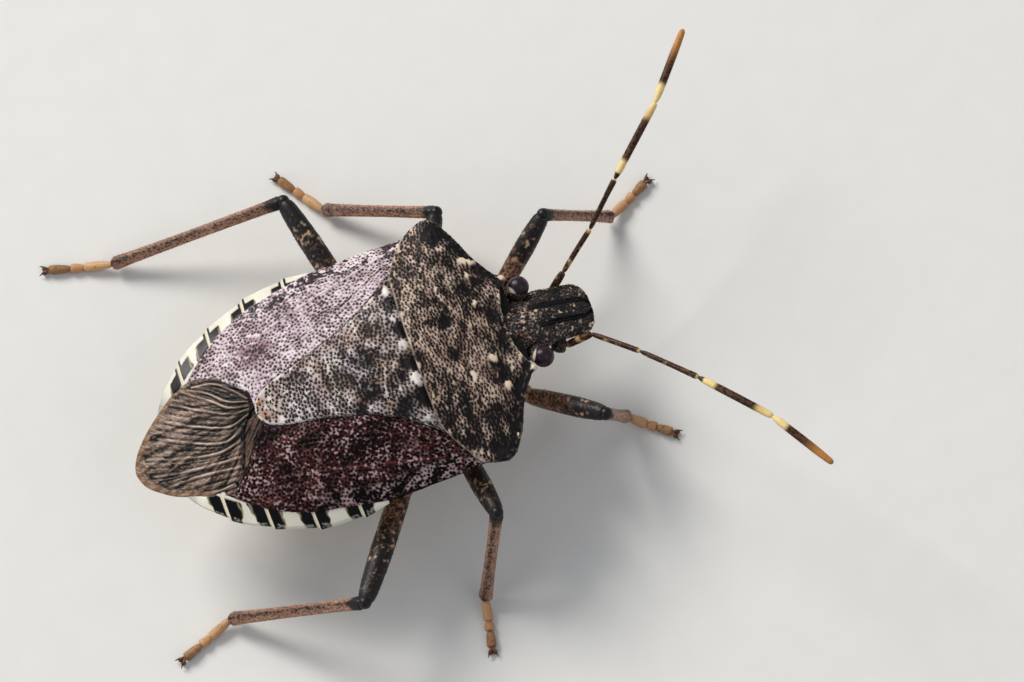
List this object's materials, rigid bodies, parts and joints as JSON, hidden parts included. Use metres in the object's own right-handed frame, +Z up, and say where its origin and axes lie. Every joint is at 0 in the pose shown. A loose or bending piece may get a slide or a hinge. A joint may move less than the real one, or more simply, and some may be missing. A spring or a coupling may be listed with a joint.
{
  "type": "shield bug",
  "caption": "Life-size still model of a brown marmorated shield bug standing on its legs, with banded feelers spread and wings folded over a flat, shield-shaped body.",
  "frame": {"origin": "on the floor, under the middle of the box round the whole bug, feelers and legs included", "axes": "+X towards the head, +Y towards the left side of the bug, +Z up"},
  "size_m": [0.0232, 0.0186, 0.0058],
  "materials": {
    "head_shell": "satin, punctured",
    "eye": "glossy",
    "beak": "satin",
    "feeler": "satin, banded with cream",
    "pronotum_shell": "satin, punctured and mottled",
    "scutellum_shell": "satin, punctured and mottled",
    "wing": "satin, leathery in front and filmy behind",
    "thorax_shell": "satin, punctured",
    "abdomen_shell": "satin, banded at the side",
    "leg": "satin, speckled"
  },
  "bodies": {
    "root": {"head": "head_shell", "eye_left": "eye", "eye_right": "eye", "beak": "beak", "feeler_left": "feeler", "feeler_right": "feeler", "pronotum": "pronotum_shell", "scutellum": "scutellum_shell", "wing_left": "wing", "wing_right": "wing", "thorax": "thorax_shell", "abdomen": "abdomen_shell", "leg_front_left": "leg", "leg_middle_left": "leg", "leg_hind_left": "leg", "leg_front_right": "leg", "leg_middle_right": "leg", "leg_hind_right": "leg"}
  },
  "joints": []
}
